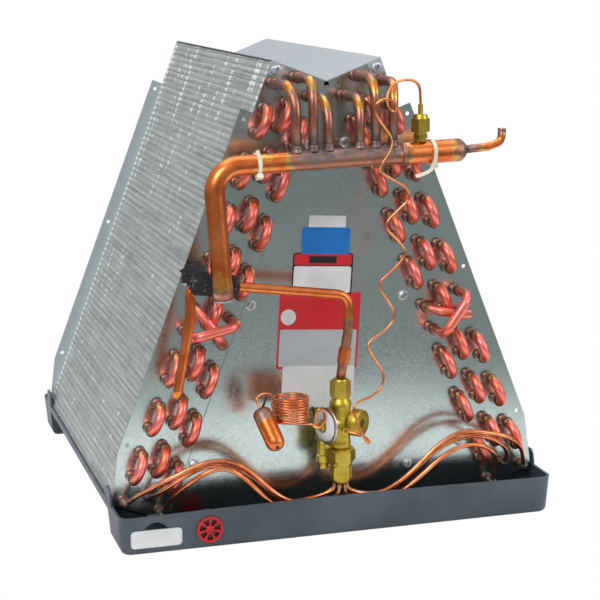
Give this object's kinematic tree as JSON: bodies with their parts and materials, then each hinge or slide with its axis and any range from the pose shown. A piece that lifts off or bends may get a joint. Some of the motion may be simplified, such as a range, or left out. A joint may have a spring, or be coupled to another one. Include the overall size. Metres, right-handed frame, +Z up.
{
  "type": "a-coil evaporator",
  "caption": "Uncased A-shaped evaporator coil: two leaning finned slabs in a drain pan, with a copper suction header, brass expansion valve and distributor tubes at the front.",
  "frame": {"origin": "centre of the bounding box at the pan's underside", "axes": "+Z up, +X to the right seen from the pipe end, -Y towards the pipe end, along the coil"},
  "size_m": [0.448, 0.5404, 0.4641],
  "materials": {
    "bend_copper": "new pink-red copper, satin",
    "brass": "machined yellow brass",
    "cap_sheet": "matte galvanised sheet",
    "fins": "bare rippled aluminium fins",
    "foam": "black foam insulation tape",
    "galvanised": "galvanised sheet with a fine spangle, part mirror-bright",
    "pan_plastic": "matte dark slate-grey moulded plastic",
    "pipe_copper": "orange-brown copper with heat tints beside the brazed joints",
    "plug_red": "bright red plastic",
    "steel": "plain stainless steel",
    "tie_white": "off-white nylon",
    "tube_copper": "thin brown copper tube",
    "zinc": "zinc-plated steel"
  },
  "bodies": {
    "root": {"bulb_capillary": "tube_copper", "cable_ties": "tie_white", "cap_screws": "zinc", "distributor": "brass", "drain_pan": "pan_plastic", "equalizer_tube": "tube_copper", "flare_fitting": "brass", "flare_nut": "brass", "foam_tape": "foam", "front_centre_plate": "galvanised", "header_sleeve": "pipe_copper", "left_fin_pack": "fins", "left_front_tube_sheet": "galvanised", "left_hairpin_ends": "bend_copper", "left_high_jumper": "bend_copper", "left_inner_distributor_tube": "tube_copper", "left_inner_feeder": "pipe_copper", "left_low_jumper": "bend_copper", "left_middle_distributor_tube": "tube_copper", "left_middle_feeder": "pipe_copper", "left_outer_distributor_tube": "tube_copper", "left_outer_feeder": "pipe_copper", "left_rear_tube_sheet": "galvanised", "left_return_bends": "bend_copper", "liquid_coupling": "brass", "liquid_line": "pipe_copper", "plate_screws": "zinc", "power_head": "steel", "process_stub": "pipe_copper", "rear_centre_plate": "galvanised", "right_fin_pack": "fins", "right_front_tube_sheet": "galvanised", "right_hairpin_ends": "bend_copper", "right_high_jumper": "bend_copper", "right_inner_distributor_tube": "tube_copper", "right_inner_feeder": "pipe_copper", "right_low_jumper": "bend_copper", "right_middle_distributor_tube": "tube_copper", "right_middle_feeder": "pipe_copper", "right_outer_distributor_tube": "tube_copper", "right_outer_feeder": "pipe_copper", "right_rear_tube_sheet": "galvanised", "right_return_bends": "bend_copper", "secondary_drain_plug": "plug_red", "sensing_bulb": "pipe_copper", "suction_header": "pipe_copper", "top_cap": "cap_sheet", "valve_body": "brass", "valve_inlet_nut": "brass", "valve_outlet_nut": "brass", "valve_side_cap": "brass"}
  },
  "joints": []
}
